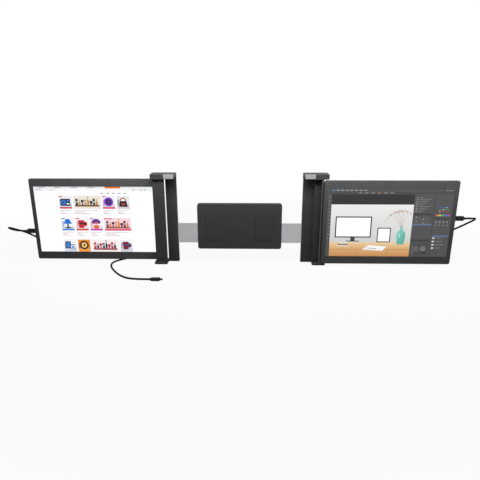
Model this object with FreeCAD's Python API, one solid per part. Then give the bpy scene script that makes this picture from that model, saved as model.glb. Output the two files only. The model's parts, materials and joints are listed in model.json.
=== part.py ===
"""Laptop screen extender: two side monitors on a telescoping bracket behind a laptop lid.

Frame: X to the right, Y away from the viewer, Z up, in millimetres. X = 0 is midway
between the two arms, Y = 0 is the front face of the laptop lid that the arms clasp,
and Z = 0 is the surface that the rubber feet stand on. Left and right are the viewer's.
"""
import FreeCAD
import Part
import math
import os

# Laptop lid that the bracket is set for at rest
lid_gap = 361.2
lid_room = 9.0

# Arm ends: a back column behind the lid, a head above and a foot below
column_in = 154.5
column_out_extra = 0.4
column_back = 21.5
arm_width = 32.2
head_front = -16.0
head_height = 12.1
head_clear = 1.4
head_chamfer = 4.0
head_round = 1.2
foot_height = 4.2
foot_pad_height = 1.2
foot_pad_recess = 0.8
foot_pad_margin = 3.0
post_round = 2.0
turn_gap = 0.3
seam_gap = 0.4
head_seam = 1.0
face_gap = 0.1

# Right arm's side rail beside the lid
rail_front = -2.0
rail_width = 18.1
rail_groove_width = 1.2
rail_groove_depth = 0.8

# Hook over the lid's top edge
hook_in = 150.0
hook_rear_in = 153.2
hook_web = 4.0
hook_bevel = 3.5
hook_taper = 5.4
hook_taper_height = 8.6
hook_back = 13.6
hook_lip_gap = 0.6
tongue_wall = 2.4
tongue_depth = 3.0
tongue_len = 81.5
tongue_front = 10.4
tongue_round = 1.0
guide_gap = 0.15
guide_room = 20.0
clip_depth = 0.8
clip_proud = 0.3
clip_margin = 1.0
clip_bottom_rise = 1.2
clip_corner = 2.5
clip_bevel_share = 0.92
clip_groove = 0.35
hook_pad_depth = 1.4
hook_pad_margin = 2.6
hook_pad_front = 0.8
hook_pad_back_gap = 1.6

# Sliding arm plates and their travel
plate_in = 32.0
plate_out = 176.0
plate_thick = 2.5
plate_front = 11.4
plate_low = 50.0
plate_height = 50.0
plate_round = 3.0
plate_screw_shares = (0.2, 0.8)
foot_screw_shares = (0.25, 0.8)
travel_in = 28.0
travel_out = 26.0
stop_x = 75.0
stop_radius = 2.9
stop_gap = 0.3
slide_gap = 0.15

# Centre housing behind the lid
centre_half = 105.0
centre_low = 34.0
centre_top = 150.0
centre_round = 6.0
centre_edge = 1.2
centre_split = 13.0
centre_wall = 1.8
pad_depth = 1.0
pad_width = 46.0
pad_height = 70.0
pad_x = 62.0
pad_recess = 0.3
pad_round = 2.0
glide_in = 44.0
glide_out = 100.0
glide_height = 5.4
glide_cover = 2.0
glide_back = 14.4
boss_radius = 3.2
boss_inset_x = 9.0
boss_inset_z = 8.0

# Kickstand, folded into the back of the centre housing
kick_width = 92.0
kick_axis_z = 118.0
kick_axis_y = 19.6
kick_low = 40.0
kick_thick = 3.0
kick_barrel = 1.9
kick_pin_radius = 1.0
kick_pin_grip = 5.0
kick_gap = 0.5
kick_recess_floor = 17.4
kick_tip_height = 5.0
kick_window_width = 54.0
kick_window_height = 34.0
kick_round = 4.0
pin_gap = 0.05

# Monitor, the same for both sides, right one turned half round
screen_w = 313.0
screen_h = 204.4
screen_depth = 9.0
side_bezel = 9.6
top_bezel = 19.2
screen_in = 201.0
screen_low = 7.4
left_front = 2.0
right_front = -21.5
corner_round = 4.0
bezel_depth = 1.4
bezel_edge = 0.5
back_edge = 2.0
case_wall = 1.5
back_wall = 1.4
panel_margin = 1.6
panel_depth = 1.0
light_depth = 2.4
light_margin = 1.2
tray_border = 6.0
tray_dish = 0.5
tray_round = 2.0
screw_inset_x = 4.5
screw_inset_z = 4.5
case_boss = 2.4
case_boss_split = 5.0

# Driver board and what sits on it
board_depth = 1.0
board_front = 6.4
board_in = 86.0
board_half_height = 70.0
board_edge_gap = 1.7
stud_inset = 6.0
stud_outer_inset = 14.0
chip_height = 0.9
port_edge_gap = 0.5
port_low = -30.0
port_high = -12.0
video_port_z = 9.0
port_w = 9.0
port_h = 3.2
port_len = 6.2
port_wall = 0.33
port_centre = 4.8
port_tongue = 0.7
port_tongue_in = 1.4
port_tongue_half = 3.2
video_port_w = 11.4
video_port_h = 3.2
video_port_wall = 0.5
port_hole_gap = 0.35
button_first = 35.0
button_pitch = 12.0
button_count = 3
button_len = 8.0
button_w = 2.6
button_proud = 0.6
button_gap = 0.2
button_flange = 0.8
button_flange_lip = 0.7
button_rest_gap = 0.15
button_travel = 0.4
switch_gap = 0.1
switch_len = 3.2
switch_half = 2.0
switch_rise = 1.2

# Left hinge bar in front of the left monitor's inner edge
bar_in_gap = 0.4
bar_width = 28.0
bar_front = -10.0
bar_round_front = 2.5
bar_round_back = 4.0
left_axis_y = -5.5
left_pin_radius = 2.5
left_pin_grip = 22.0
head_pin_grip = 8.0
foot_floor = 1.4
clip_ring_wall = 1.6
clip_ring_len = 9.0
clip_ring_start = 4.0
clip_ring_mouth = 2.4
clip_ring_room = 0.2
pin_end_gap = 0.5
bar_screw_pitch = 70.0
bar_screw_inset = 3.4

# Right hinge strip on the back of the right monitor
right_axis_y = -12.25
knuckle_radius = 2.6
knuckle_gap = 0.3
right_pin_radius = 1.5
leaf_width = 12.0
leaf_thick = 1.8
leaf_screw_inset = 5.5

# Chips: share of the board's width, share of its half height, and size
chips = ((0.52, -0.31, 14.0), (0.61, 0.4, 10.0), (0.79, -0.77, 7.0))

# Screws: head radius, head height, shank radius, grip below the head
small_screw = (1.9, 1.2, 0.9, 5.6)
case_screw = (2.3, 1.6, 1.25, 7.2)
plate_screw = (2.8, 1.6, 1.45, 9.2)
foot_screw = (2.8, 1.4, 1.45, 10.0)
bar_screw = (1.6, 1.1, 0.95, 6.4)
leaf_screw = (1.9, 1.0, 0.95, 4.4)
screw_gap = 0.1
drive_radius = 0.7
drive_depth = 0.6

# Cable and its plugs
cord_radius = 2.3
cord_floor = 0.2
plug_width = 11.6
plug_thick = 6.6
plug_len = 19.5
plug_stand = 0.4
plug_round = 2.4
relief_len = 9.0
relief_root = 3.1
relief_rings = 3
relief_groove = 0.35
relief_groove_len = 0.8
tip_w = 8.3
tip_h = 2.4
tip_len = 5.6
tip_wall = 0.3
tip_floor = 0.5
coil_radius = 22.0
coil_pitch = 5.4
coil_quarters = 8
coil_drop_radius = 14.0
coil_lead = 38.0
coil_inset = 88.0
coil_drop = 40.0
plug_run = 24.5
left_plug_y = -132.0
arc_share = 0.45

# How far a cut or a joint reaches past the face it starts from
beyond = 1.0
bite = 0.5

# Worked out from the sizes above
V = FreeCAD.Vector
AXIS_X = V(1, 0, 0)
AXIS_Y = V(0, 1, 0)
AXIS_Z = V(0, 0, 1)
LEFT = -1
RIGHT = 1
arm_in = lid_gap / 2
arm_out = arm_in + arm_width
head_in = arm_in + head_seam
view_w = screen_w - 2 * side_bezel
view_h = screen_h - 2 * top_bezel
head_bottom = screen_low + screen_h + head_clear
hook_out = head_in - seam_gap
head_top = head_bottom + head_height
foot_top = foot_height + foot_pad_height - foot_pad_recess
foot_low = foot_pad_height - foot_pad_recess
screen_mid_x = screen_in + screen_w / 2
screen_mid_z = screen_low + screen_h / 2
hook_under = head_top - hook_web
hook_low = head_bottom + turn_gap
tongue_bottom = hook_low - tongue_len
tongue_mid = (column_in + hook_out) / 2
tongue_width = hook_out - column_in - 2 * tongue_wall
plate_back = plate_front + plate_thick
plate_top = plate_low + plate_height
plate_mid = (plate_low + plate_top) / 2
bar_in = arm_in + bar_in_gap
bar_mid = bar_in + bar_width / 2
left_axis_x = -bar_mid
right_axis_x = screen_in - knuckle_gap - knuckle_radius
bar_low = foot_top + turn_gap
bar_high = head_bottom - turn_gap
case_inner_y = screen_depth - back_wall
panel_back = bezel_depth + panel_depth
light_back = panel_back + light_depth
cord_z = cord_radius + cord_floor
plug_reach = plug_stand + plug_len + relief_len


def block(x0, x1, y0, y1, z0, z1):
    """A box between two corners, given in any order."""
    low = V(min(x0, x1), min(y0, y1), min(z0, z1))
    return Part.makeBox(abs(x1 - x0), abs(y1 - y0), abs(z1 - z0), low)


def rod(radius, start, end):
    """A round rod between two points."""
    along = end - start
    return Part.makeCylinder(radius, along.Length, start, along)


def straight_edges(shape, direction):
    """The straight edges of a shape that run along a direction."""
    found = []
    for edge in shape.Edges:
        ends = edge.Vertexes
        if len(ends) == 2:
            along = ends[1].Point - ends[0].Point
            if abs(along.cross(direction).Length) < 1e-6 and abs(along.Length - edge.Length) < 1e-6:
                found.append(edge)
    return found


def edges_in_plane(shape, axis, level):
    """The edges of a shape that lie wholly at one level of X, Y or Z."""
    return [e for e in shape.Edges
            if abs(getattr(e.BoundBox, axis + "Min") - level) < 1e-4
            and abs(getattr(e.BoundBox, axis + "Max") - level) < 1e-4]


def slab(width, height, y0, y1, corner, mid_x=0.0, mid_z=0.0):
    """A plate that faces the viewer, with rounded corners."""
    body = block(mid_x - width / 2, mid_x + width / 2, y0, y1,
                 mid_z - height / 2, mid_z + height / 2)
    return body.makeFillet(corner, straight_edges(body, AXIS_Y))


def pill(width, height, x0, x1, mid_y, mid_z):
    """A bar along X whose section is a slot, long way up."""
    body = block(x0, x1, mid_y - height / 2, mid_y + height / 2,
                 mid_z - width / 2, mid_z + width / 2)
    return body.makeFillet(height / 2 * 0.98, straight_edges(body, AXIS_X))


def prism(points, direction):
    """A straight prism on a flat outline."""
    return Part.Face(Part.makePolygon(points + [points[0]])).extrude(direction)


def joined(shapes):
    """One solid from touching or crossing shapes."""
    return shapes[0].multiFuse(shapes[1:]).removeSplitter()


def screw(size, seat, direction):
    """A pan screw whose head's outer face is at seat and whose shank runs along direction."""
    head_radius, head_height_, shank_radius, grip = size
    step = V(direction).normalize()
    under = seat + step * head_height_
    head = rod(head_radius, seat, under)
    drive = rod(drive_radius, seat, seat + step * drive_depth)
    shank = rod(shank_radius, under, under + step * grip)
    return joined([head, shank]).cut(drive)


def screw_room(size, seat, direction):
    """The counterbore and the hole that a screw of this size goes through."""
    head_radius, head_height_, shank_radius, grip = size
    step = V(direction).normalize()
    under = seat + step * head_height_
    head = rod(head_radius + screw_gap, seat - step, under)
    shank = rod(shank_radius + pin_gap, under - step * screw_gap, under + step * (grip + screw_gap))
    return head.fuse(shank)


def mirrored(shape, side):
    """The shape as made for the right side, or its mirror image for the left."""
    return shape if side == RIGHT else shape.mirror(V(0, 0, 0), AXIS_X)


def arm_column(side):
    """Back column behind the lid, with the hook's channel and the arm plate's pocket."""
    body = block(column_in, arm_in, lid_room, column_back, foot_top, head_bottom)
    if side == RIGHT:
        rail = block(arm_in + column_out_extra, arm_in + rail_width, rail_front, column_back,
                     foot_top, head_bottom)
        bridge = block(arm_in - beyond, arm_in + rail_width, lid_room, column_back, foot_top, head_bottom)
        body = joined([body, bridge, rail])
    outer = [e for e in straight_edges(body, AXIS_Z) if is_outer_corner(e, side)]
    body = body.makeFillet(post_round, outer)
    reach = tongue_width / 2 + guide_gap
    channel = block(tongue_mid - reach, tongue_mid + reach, tongue_front - guide_gap,
                    tongue_front + tongue_depth + guide_gap, tongue_bottom - guide_room, head_bottom)
    pocket = block(column_in - beyond, plate_out + slide_gap, plate_front - slide_gap,
                   plate_back + slide_gap, plate_low - slide_gap, plate_top + slide_gap)
    body = body.cut(channel).cut(pocket)
    if side == RIGHT:
        groove = block(arm_in + rail_width - rail_groove_width * 2, arm_in + rail_width - rail_groove_width,
                       rail_front - beyond, rail_front + rail_groove_depth, foot_top, head_bottom)
        body = body.cut(groove)
    for seat in plate_screw_seats():
        body = body.cut(screw_room(plate_screw, seat, -AXIS_Y))
    for seat in foot_screw_seats():
        body = body.cut(screw_room(foot_screw, seat, AXIS_Z))
    return mirrored(body, side)


def is_outer_corner(edge, side):
    """True for the column's upright corners that are open to the outside."""
    point = edge.Vertexes[0].Point
    outer_x = arm_in + rail_width if side == RIGHT else arm_in
    at_side = abs(point.x - column_in) < 1e-4 or abs(point.x - outer_x) < 1e-4
    return at_side and abs(point.y - column_back) < 1e-4


def plate_screw_seats():
    """Where the arm plate's screws enter the back of the column, on the right side."""
    x = (column_in + plate_out) / 2
    return [V(x, column_back, plate_low + plate_height * share) for share in plate_screw_shares]


def foot_screw_seats():
    """Where the foot's screws enter from below, on the right side."""
    y = (lid_room + column_back) / 2
    return [V(column_in + arm_width * share, y, foot_low) for share in foot_screw_shares]


def arm_head(side):
    """Head block above the hinge, reaching back over the column behind the hook."""
    front = block(head_in, arm_out, head_front, column_back, head_bottom, head_top)
    rear = block(column_in, head_in + beyond, hook_back + seam_gap, column_back, head_bottom, head_top)
    body = joined([front, rear])
    corner = [e for e in straight_edges(body, AXIS_Z)
              if abs(e.Vertexes[0].Point.x - arm_out) < 1e-4 and e.Vertexes[0].Point.y < 0]
    body = body.makeChamfer(head_chamfer, corner)
    back = [e for e in straight_edges(body, AXIS_Z) if e.Vertexes[0].Point.y > column_back - 1e-4]
    body = body.makeFillet(post_round, back)
    body = body.makeFillet(head_round, outer_rim(body, head_top))
    x, y, radius = hinge_pin_line(side)
    hole = rod(radius + pin_gap / 2, V(abs(x), y, head_bottom - beyond),
               V(abs(x), y, head_bottom + head_pin_grip))
    return mirrored(body.cut(hole), side)


def outer_rim(body, level):
    """The top edges of a head that face the outside, not those at the hook's seam."""
    rim = []
    for edge in edges_in_plane(body, "Z", level):
        box = edge.BoundBox
        near_hook = column_in + 1e-4 < box.XMin and box.XMax < head_in + 1e-4
        at_seam = near_hook and box.YMax < column_back - post_round - 1e-4
        at_step = abs(box.YMax - hook_back - seam_gap) < 1e-4 and abs(box.YMin - box.YMax) < 1e-4
        if not at_seam and not at_step and box.XMin > column_in + post_round - 1e-4:
            rim.append(edge)
    return rim


def hinge_pin_line(side):
    """X, Y and radius of the hinge pins on one side."""
    if side == LEFT:
        return left_axis_x, left_axis_y, left_pin_radius
    return right_axis_x, right_axis_y, right_pin_radius


def arm_foot(side):
    """Foot plate under the column and the hinge, with a recess for its rubber pad."""
    front = block(arm_in, arm_out, head_front, column_back, foot_low, foot_top)
    rear = block(column_in, arm_in + beyond, lid_room, column_back, foot_low, foot_top)
    body = joined([front, rear])
    corner = [e for e in straight_edges(body, AXIS_Z)
              if abs(e.Vertexes[0].Point.x - arm_out) < 1e-4 and e.Vertexes[0].Point.y < 0]
    body = body.makeChamfer(head_chamfer, corner)
    recess = foot_pad_block(foot_low - beyond, foot_pad_height, 0.0)
    x, y, radius = hinge_pin_line(side)
    hole = rod(radius + pin_gap / 2, V(abs(x), y, foot_low + foot_floor), V(abs(x), y, foot_top + beyond))
    body = body.cut(recess).cut(hole)
    for seat in foot_screw_seats():
        body = body.cut(screw_room(foot_screw, seat, AXIS_Z))
    return mirrored(body, side)


def foot_pad_block(low, high, inset):
    """The rubber pad's outline under the outer part of the foot."""
    edge = foot_pad_margin + inset
    body = block(arm_in + edge, arm_out - edge - head_chamfer / 2,
                 head_front + edge, column_back - edge, low, high)
    return body.makeFillet(post_round, straight_edges(body, AXIS_Z))


def foot_pad(side):
    """Rubber pad that the arm stands on."""
    return mirrored(foot_pad_block(0.0, foot_pad_height, face_gap), side)


def arm_plate(side):
    """Aluminium plate that slides in the centre housing, with a slot for the stop."""
    body = block(plate_in, plate_out, plate_front, plate_back, plate_low, plate_top)
    body = body.makeFillet(plate_round, straight_edges(body, AXIS_Y))
    reach = stop_radius + stop_gap
    slot = block(stop_x - reach - travel_out, stop_x + reach + travel_in, plate_front - beyond,
                 plate_back + beyond, plate_mid - reach, plate_mid + reach)
    slot = slot.makeFillet(reach * 0.98, straight_edges(slot, AXIS_Y))
    body = body.cut(slot)
    for seat in plate_screw_seats():
        hole = rod(plate_screw[2] + pin_gap, seat, V(seat.x, plate_front - beyond, seat.z))
        body = body.cut(hole)
    return mirrored(body, side)


def arm_screws(side):
    """Screws that hold the plate and the foot to the column."""
    parts = [screw(plate_screw, seat, -AXIS_Y) for seat in plate_screw_seats()]
    parts += [screw(foot_screw, seat, AXIS_Z) for seat in foot_screw_seats()]
    return mirrored(Part.makeCompound(parts), side)


def hinge_pins(side):
    """Upper and lower hinge pins, fixed in the head and the foot."""
    x, y, radius = hinge_pin_line(side)
    top = rod(radius, V(x, y, bar_high - left_pin_grip), V(x, y, head_bottom + head_pin_grip))
    low = rod(radius, V(x, y, foot_low + foot_floor), V(x, y, bar_low + left_pin_grip))
    return Part.makeCompound([top, low])


def hook_profile():
    """Side outline of the hook: front lip, web over the lid and rear block."""
    return [V(0, head_front, hook_low), V(0, head_front, head_top - hook_bevel),
            V(0, head_front + hook_bevel, head_top), V(0, hook_back, head_top),
            V(0, hook_back, hook_low), V(0, lid_room, hook_low),
            V(0, lid_room, hook_under), V(0, -hook_lip_gap, hook_under), V(0, -hook_lip_gap, hook_low)]


def hook(side):
    """Hook that slides up for taller lids, guided by its tongue in the column."""
    body = prism(hook_profile(), V(hook_out - hook_in, 0, 0))
    body.translate(V(hook_in, 0, 0))
    taper = prism([V(hook_in - beyond, head_front - beyond, hook_low + hook_taper_height),
                   V(hook_in, head_front - beyond, hook_low + hook_taper_height),
                   V(hook_in + hook_taper, head_front - beyond, hook_low),
                   V(hook_in + hook_taper, head_front - beyond, hook_low - beyond),
                   V(hook_in - beyond, head_front - beyond, hook_low - beyond)],
                  V(0, beyond - hook_lip_gap - head_front, 0))
    narrowing = prism([V(hook_in - beyond, head_front, hook_low - beyond),
                       V(hook_in, head_front, hook_low - beyond),
                       V(hook_rear_in, hook_back, hook_low - beyond),
                       V(hook_rear_in, hook_back + beyond, hook_low - beyond),
                       V(hook_in - beyond, hook_back + beyond, hook_low - beyond)],
                      V(0, 0, head_height + 2 * beyond))
    body = body.cut(taper).cut(narrowing)
    tongue = block(tongue_mid - tongue_width / 2, tongue_mid + tongue_width / 2, tongue_front,
                   tongue_front + tongue_depth, tongue_bottom, hook_low + beyond)
    low_edges = [e for e in edges_in_plane(tongue, "Z", tongue_bottom) if e.Length < tongue_width]
    tongue = tongue.makeFillet(tongue_round, low_edges)
    body = joined([body, tongue])
    return mirrored(body.cut(clip_solid(clip_groove, 1.0)), side)


def clip_solid(side_gap, outward):
    """Bent metal plate on the hook's front and bevel, or with a gap and outward, the pocket for it."""
    low = hook_low + clip_bottom_rise - side_gap
    outer = -clip_proud - outward
    inner = clip_depth - clip_proud
    knee = head_top - hook_bevel
    end = hook_bevel * clip_bevel_share + side_gap * math.sqrt(0.5)
    bend = math.tan(math.radians(22.5))
    slant = math.sqrt(0.5)
    outline = [V(0, head_front + outer, low), V(0, head_front + inner, low),
               V(0, head_front + inner, knee - inner * bend),
               V(0, head_front + end + inner * slant, knee + end - inner * slant),
               V(0, head_front + end + outer * slant, knee + end - outer * slant),
               V(0, head_front + outer, knee - outer * bend)]
    width = hook_out - hook_in - hook_taper - clip_margin + 2 * side_gap
    body = prism(outline, V(width, 0, 0))
    body.translate(V(hook_in + hook_taper - side_gap, 0, 0))
    corners = [e for e in straight_edges(body, AXIS_Y) if abs(e.Vertexes[0].Point.z - low) < 1e-4]
    return body.makeFillet(clip_corner, corners)


def hook_clip(side):
    """Bright metal plate on the hook."""
    return mirrored(clip_solid(0.0, 0.0), side)


def hook_pad(side):
    """Rubber pad under the hook's web."""
    body = block(column_in + hook_pad_margin, hook_out - hook_pad_margin, hook_pad_front,
                 lid_room - hook_pad_back_gap,
                 hook_under - hook_pad_depth, hook_under)
    return mirrored(body, side)


def bezel(side):
    """Front frame of a monitor, with posts for the case screws."""
    body = slab(screen_w, screen_h, 0.0, bezel_depth, corner_round)
    body = body.makeChamfer(bezel_edge, edges_in_plane(body, "Y", 0.0))
    body = body.cut(slab(view_w, view_h, -beyond, bezel_depth + beyond, bezel_edge))
    posts = [rod(case_boss, V(x, bezel_depth - bite, z), V(x, case_boss_split, z))
             for x, z in case_screw_places()]
    body = joined([body] + posts)
    for x, z in case_screw_places():
        body = body.cut(rod(small_screw[2] + pin_gap, V(x, bezel_depth, z),
                            V(x, case_boss_split + beyond, z)))
    if side == LEFT:
        x = bar_screw_x()
        for z in bar_screw_levels():
            body = body.cut(rod(bar_screw[2] + pin_gap, V(x, -beyond, z), V(x, bezel_depth + beyond, z)))
    return body


def case_screw_places():
    """X and Z of the four case screws in the monitor's own frame."""
    x = screen_w / 2 - screw_inset_x
    z = screen_h / 2 - screw_inset_z
    return [(sx * x, sz * z) for sx in (-1, 1) for sz in (-1, 1)]


def bar_screw_x():
    """The hinge bar's screw line in the monitor's own frame."""
    return screen_w / 2 - bar_screw_inset


def bar_screw_levels():
    """Heights of the hinge screws in the monitor's own frame."""
    return [bar_screw_pitch * step for step in (-1, 0, 1)]


def leaf_screw_x():
    """The hinge strip's screw line in the monitor's own frame, on its hinge side."""
    return screen_w / 2 - leaf_screw_inset


def back_cover(side):
    """Rear tray of a monitor, with screw bosses, port mouths and button slots."""
    body = slab(screen_w, screen_h, bezel_depth, screen_depth, corner_round)
    body = body.makeFillet(back_edge, edges_in_plane(body, "Y", screen_depth))
    room = slab(screen_w - 2 * case_wall, screen_h - 2 * case_wall, bezel_depth - beyond, case_inner_y,
                corner_round - case_wall)
    body = body.cut(room)
    places = case_screw_places()
    if side == RIGHT:
        places += [(leaf_screw_x(), z) for z in bar_screw_levels()]
    bosses = [boss(case_boss_split, x, z) for x, z in places]
    bosses += [boss(board_front + board_depth, x, z) for x, z in board_stud_places()]
    body = joined([body] + bosses)
    for x, z in case_screw_places():
        body = body.cut(screw_room(small_screw, V(x, screen_depth, z), -AXIS_Y))
    if side == RIGHT:
        for z in bar_screw_levels():
            x = leaf_screw_x()
            body = body.cut(rod(leaf_screw[2] + pin_gap, V(x, case_boss_split - beyond, z),
                                V(x, screen_depth + beyond, z)))
    edge = -screen_w / 2
    for z in (port_low, port_high):
        body = body.cut(pill(port_w + 2 * port_hole_gap, port_h + 2 * port_hole_gap, edge - beyond,
                             edge + case_wall + 0.5, port_centre, z))
    body = body.cut(pill(video_port_w + 2 * port_hole_gap, video_port_h + 2 * port_hole_gap, edge - beyond,
                         edge + case_wall + 0.5, port_centre, video_port_z))
    for z in button_levels():
        body = body.cut(pill(button_len + 2 * button_gap, button_w + 2 * button_gap, edge - beyond,
                             edge + case_wall + 0.5, port_centre, z))
    return body


def boss(start, x, z):
    """A round post on the inside of the back cover."""
    return rod(case_boss, V(x, start, z), V(x, case_inner_y + bite, z))


def board_outer():
    """The driver board's edge towards the ports, in the monitor's own frame."""
    return -(screen_w / 2 - case_wall - board_edge_gap)


def board_stud_places():
    """X and Z of the studs that the driver board rests on."""
    x0 = board_outer() + stud_outer_inset
    x1 = -board_in - stud_inset
    z = board_half_height - stud_inset
    return [(x, s * z) for x in (x0, x1) for s in (-1, 1)]


def button_levels():
    """Heights of the buttons in the monitor's own frame."""
    return [button_first + button_pitch * k for k in range(button_count)]


def display_panel():
    """Glass display cell behind the bezel's window."""
    return slab(view_w + 2 * panel_margin, view_h + 2 * panel_margin,
                bezel_depth, panel_back, bezel_edge)


def backlight():
    """Light guide and its metal tray behind the display cell."""
    body = slab(view_w + 2 * light_margin, view_h + 2 * light_margin, panel_back, light_back, bezel_edge)
    dish = slab(view_w - 2 * tray_border, view_h - 2 * tray_border,
                light_back - tray_dish, light_back + beyond, tray_round)
    return body.cut(dish)


def driver_board():
    """Circuit board with its ports, key switches and chips."""
    edge = -(screen_w / 2 - case_wall - port_edge_gap)
    half = board_half_height
    outer = board_outer()
    board = block(outer, -board_in, board_front, board_front + board_depth, -half, half)
    parts = [board]
    for z in (port_low, port_high):
        parts.append(usb_port(edge, z))
    video_y = board_front - video_port_h / 2
    video = pill(video_port_w, video_port_h, edge, edge + port_len, video_y, video_port_z)
    mouth = pill(video_port_w - 2 * video_port_wall, video_port_h - 2 * video_port_wall, edge - beyond,
                 edge + port_len - 2 * video_port_wall, video_y, video_port_z)
    parts.append(video.cut(mouth))
    for z in button_levels():
        x = button_inner_x() + button_travel + switch_gap
        parts.append(block(x, x + switch_len, port_centre - switch_rise, board_front,
                           z - switch_half, z + switch_half))
    for across, up, size in chips:
        x = outer + (-board_in - outer) * across
        z = half * up
        parts.append(block(x - size / 2, x + size / 2, board_front - chip_height, board_front,
                           z - size / 2, z + size / 2))
    return Part.makeCompound(parts)


def usb_port(edge, z):
    """One small oval port with its tongue, mouth towards the case edge."""
    shell = pill(port_w, port_h, edge, edge + port_len, port_centre, z)
    hollow = pill(port_w - 2 * port_wall, port_h - 2 * port_wall, edge - beyond,
                  edge + port_len - port_wall, port_centre, z)
    tongue = block(edge + port_tongue_in, edge + port_len, port_centre - port_tongue / 2,
                   port_centre + port_tongue / 2, z - port_tongue_half, z + port_tongue_half)
    return joined([shell.cut(hollow), tongue])


def button_inner_x():
    """The inner face of a button's flange at rest, in the monitor's own frame."""
    return -(screen_w / 2 - case_wall) + button_rest_gap + button_flange


def button(z):
    """One edge button: a pill cap with a flange that keeps it in its slot."""
    edge = -screen_w / 2
    cap = pill(button_len, button_w, edge - button_proud, button_inner_x() - button_flange / 2,
               port_centre, z)
    flange = pill(button_len + 2 * button_flange_lip, button_w + 2 * button_flange_lip,
                  button_inner_x() - button_flange, button_inner_x(), port_centre, z)
    return joined([cap, flange])


def case_screws():
    """Four screws in the back of a monitor."""
    return Part.makeCompound([screw(small_screw, V(x, screen_depth, z), -AXIS_Y)
                              for x, z in case_screw_places()])


def place_screen(shape, side):
    """Puts a monitor piece, made in the monitor's own frame, on its side of the bracket."""
    placed = shape.copy()
    if side == RIGHT:
        placed.rotate(V(0, 0, 0), AXIS_Y, 180)
        placed.translate(V(screen_mid_x, right_front, screen_mid_z))
    else:
        placed.translate(V(-screen_mid_x, left_front, screen_mid_z))
    return placed


def hinge_bar():
    """Upright bar that carries the left monitor and turns on the left pins."""
    body = block(-bar_in, -bar_in - bar_width, bar_front, left_front, bar_low, bar_high)
    front = [e for e in straight_edges(body, AXIS_Z) if e.Vertexes[0].Point.y < left_axis_y]
    body = body.makeFillet(bar_round_front, front)
    back = [e for e in straight_edges(body, AXIS_Z)
            if e.Vertexes[0].Point.y > left_front - 1e-4 and e.Vertexes[0].Point.x > left_axis_x]
    body = body.makeFillet(bar_round_back, back)
    x, y, radius = hinge_pin_line(LEFT)
    for end, way in ((bar_low, 1), (bar_high, -1)):
        hole = rod(radius + pin_gap, V(x, y, end - way),
                   V(x, y, end + way * (left_pin_grip + pin_end_gap)))
        ring_room = rod(radius + clip_ring_wall + clip_ring_room,
                        V(x, y, end + way * (clip_ring_start - clip_ring_room)),
                        V(x, y, end + way * (clip_ring_start + clip_ring_len + clip_ring_room)))
        body = body.cut(hole).cut(ring_room)
    for z in bar_screw_levels():
        hole_x = bar_screw_x() - screen_mid_x
        hole_z = z + screen_mid_z
        body = body.cut(rod(bar_screw[2] + pin_gap, V(hole_x, left_front + beyond, hole_z),
                            V(hole_x, left_front + bezel_depth - bar_screw[3] - screw_gap, hole_z)))
    return body


def friction_rings():
    """Split spring rings round the left pins that hold the monitor where it is put."""
    x, y, radius = hinge_pin_line(LEFT)
    rings = []
    for end, way in ((bar_low, 1), (bar_high, -1)):
        start = V(x, y, end + way * clip_ring_start)
        stop = V(x, y, end + way * (clip_ring_start + clip_ring_len))
        bore = rod(radius + pin_gap, start - V(0, 0, way), stop + V(0, 0, way))
        ring = rod(radius + clip_ring_wall, start, stop).cut(bore)
        mouth = block(x, x + 2 * (radius + clip_ring_wall),
                      y - clip_ring_mouth / 2, y + clip_ring_mouth / 2,
                      min(start.z, stop.z) - beyond, max(start.z, stop.z) + beyond)
        rings.append(ring.cut(mouth))
    return Part.makeCompound(rings)


def bar_screws():
    """Screws through the left bezel into the hinge bar."""
    x = bar_screw_x() - screen_mid_x
    seat_y = left_front + bezel_depth + bar_screw[1]
    return Part.makeCompound([screw(bar_screw, V(x, seat_y, z + screen_mid_z), -AXIS_Y)
                              for z in bar_screw_levels()])


def hinge_strip():
    """Right hinge: a long knuckle and a leaf on the back of the right monitor."""
    back = right_front + screen_depth
    knuckle = rod(knuckle_radius, V(right_axis_x, right_axis_y, bar_low),
                  V(right_axis_x, right_axis_y, bar_high))
    leaf = block(right_axis_x, screen_in + leaf_width, back, back + leaf_thick,
                 screen_low + corner_round, screen_low + screen_h - corner_round)
    body = joined([knuckle, leaf])
    for end, way in ((bar_low, 1), (bar_high, -1)):
        body = body.cut(rod(right_pin_radius + pin_gap, V(right_axis_x, right_axis_y, end - way),
                            V(right_axis_x, right_axis_y, end + way * (left_pin_grip + pin_end_gap))))
    for seat in leaf_screw_seats():
        body = body.cut(screw_room(leaf_screw, seat, -AXIS_Y))
    return body


def leaf_screw_seats():
    """Where the leaf's screws enter, on the right monitor's back."""
    x = screen_mid_x - leaf_screw_x()
    y = right_front + screen_depth + leaf_thick
    return [V(x, y, screen_mid_z - z) for z in bar_screw_levels()]


def leaf_screws():
    """Screws through the hinge strip's leaf into the right monitor."""
    return Part.makeCompound([screw(leaf_screw, seat, -AXIS_Y) for seat in leaf_screw_seats()])


def centre_outline(y0, y1):
    """The centre housing's outer block between two depths."""
    return slab(2 * centre_half, centre_top - centre_low, y0, y1, centre_round,
                0.0, (centre_top + centre_low) / 2)


def centre_room(y0, y1, x0=None):
    """The hollow inside the centre housing between two depths."""
    half = centre_half - centre_wall
    low = centre_low + centre_wall
    high = centre_top - centre_wall
    if x0 is None:
        return block(-half, half, y0, y1, low, high)
    return block(-half, -x0, y0, y1, low, high).fuse(block(x0, half, y0, y1, low, high))


def plate_mouths():
    """Slots in the housing's two ends for the arm plates."""
    reach = centre_half + beyond
    return block(-reach, reach, plate_front - slide_gap, plate_back + slide_gap,
                 plate_low - slide_gap, plate_top + slide_gap)


def centre_screw_places():
    """X and Z of the housing's four screws."""
    x = centre_half - boss_inset_x
    levels = (centre_low + boss_inset_z, centre_top - boss_inset_z)
    return [(sx * x, z) for sx in (-1, 1) for z in levels]


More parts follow.
